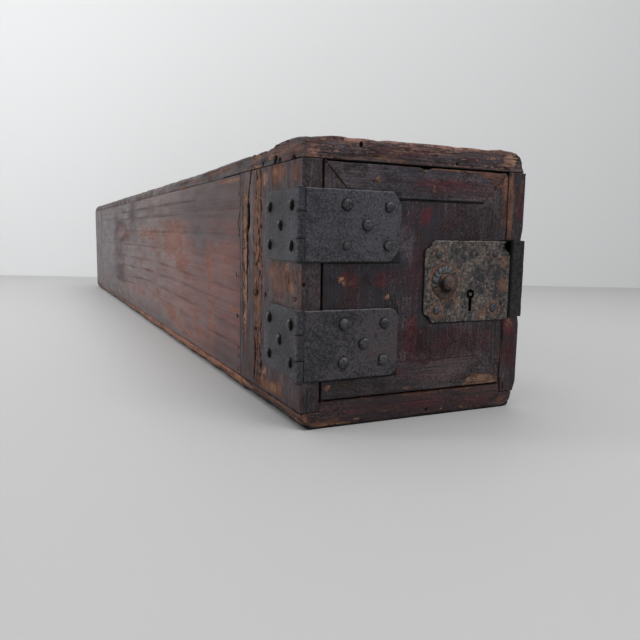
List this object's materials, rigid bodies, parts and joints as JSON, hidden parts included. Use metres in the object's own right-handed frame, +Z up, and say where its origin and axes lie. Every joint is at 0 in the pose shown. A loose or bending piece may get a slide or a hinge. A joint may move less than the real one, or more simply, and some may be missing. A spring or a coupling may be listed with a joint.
{
  "type": "long wooden chest with end door",
  "caption": "Long low wooden chest with a side-hung door in its small end, wrap-around iron hinges, a sliding-bolt lock plate with a keyhole and a button pull.",
  "frame": {"origin": "centre of the chest's underside, on the floor", "axes": "+Z up, +Y from the door end towards the back along the chest's length, +X to the right when facing the door (the lock side)"},
  "size_m": [0.2773, 1.8319, 0.28],
  "materials": {
    "case_wood": "aged dark lacquer, worn",
    "stile_wood": "aged dark lacquer, worn to bare wood at the edges",
    "door_wood": "aged dark lacquer with red patches",
    "inner_wood": "bare aged wood",
    "peg_wood": "bare, dark",
    "case_nail_iron": "rusted",
    "hinge_iron": "hand-forged, blackened",
    "nail_iron": "hand-forged, blackened",
    "pin_iron": "forged, dull",
    "edge_iron": "blackened",
    "rusty_iron": "mottled rust over grey iron",
    "pull_iron": "rubbed, rusted in the hollows",
    "lock_iron": "bare, lightly rusted"
  },
  "bodies": {
    "case": {"bottom_board": "case_wood", "top_board": "case_wood", "left_front_stile": "stile_wood", "left_side_plank": "case_wood", "left_rear_stile": "stile_wood", "right_front_stile": "stile_wood", "right_side_plank": "case_wood", "right_rear_stile": "stile_wood", "back_board": "stile_wood", "hinge_side_stop": "inner_wood", "lock_side_stop": "inner_wood", "side_joint_pegs": "peg_wood", "top_board_nails": "case_nail_iron", "bottom_board_nails": "case_nail_iron", "back_board_nails": "case_nail_iron", "upper_side_leaf": "hinge_iron", "upper_hinge_pin": "pin_iron", "upper_side_nails": "nail_iron", "lower_side_leaf": "hinge_iron", "lower_hinge_pin": "pin_iron", "lower_side_nails": "nail_iron", "edge_plate": "edge_iron", "edge_plate_nails": "edge_iron"},
    "door": {"door_panel": "door_wood", "door_top_rail": "door_wood", "door_bottom_rail": "door_wood", "upper_front_leaf": "hinge_iron", "upper_front_nails": "nail_iron", "lower_front_leaf": "hinge_iron", "lower_front_nails": "nail_iron", "lock_plate": "rusty_iron", "lock_plate_nails": "rusty_iron", "flower_washer": "rusty_iron", "washer_rivet": "rusty_iron", "pull_stud": "pull_iron", "lock_case": "lock_iron", "lock_pillars": "lock_iron", "key_post": "lock_iron", "bolt_spring": "lock_iron"},
    "bolt": {"lock_bolt": "lock_iron"}
  },
  "joints": [
    {"name": "door_hinge", "type": "hinge", "parent": "case", "child": "door", "pos_m": [-0.1365, -0.9135, 0.14], "axis": [0, 0, -1], "range_deg": [0, 266]},
    {"name": "bolt_slide", "type": "slide", "parent": "door", "child": "bolt", "axis": [1, 0, 0], "range_m": [0, 0.012]}
  ]
}
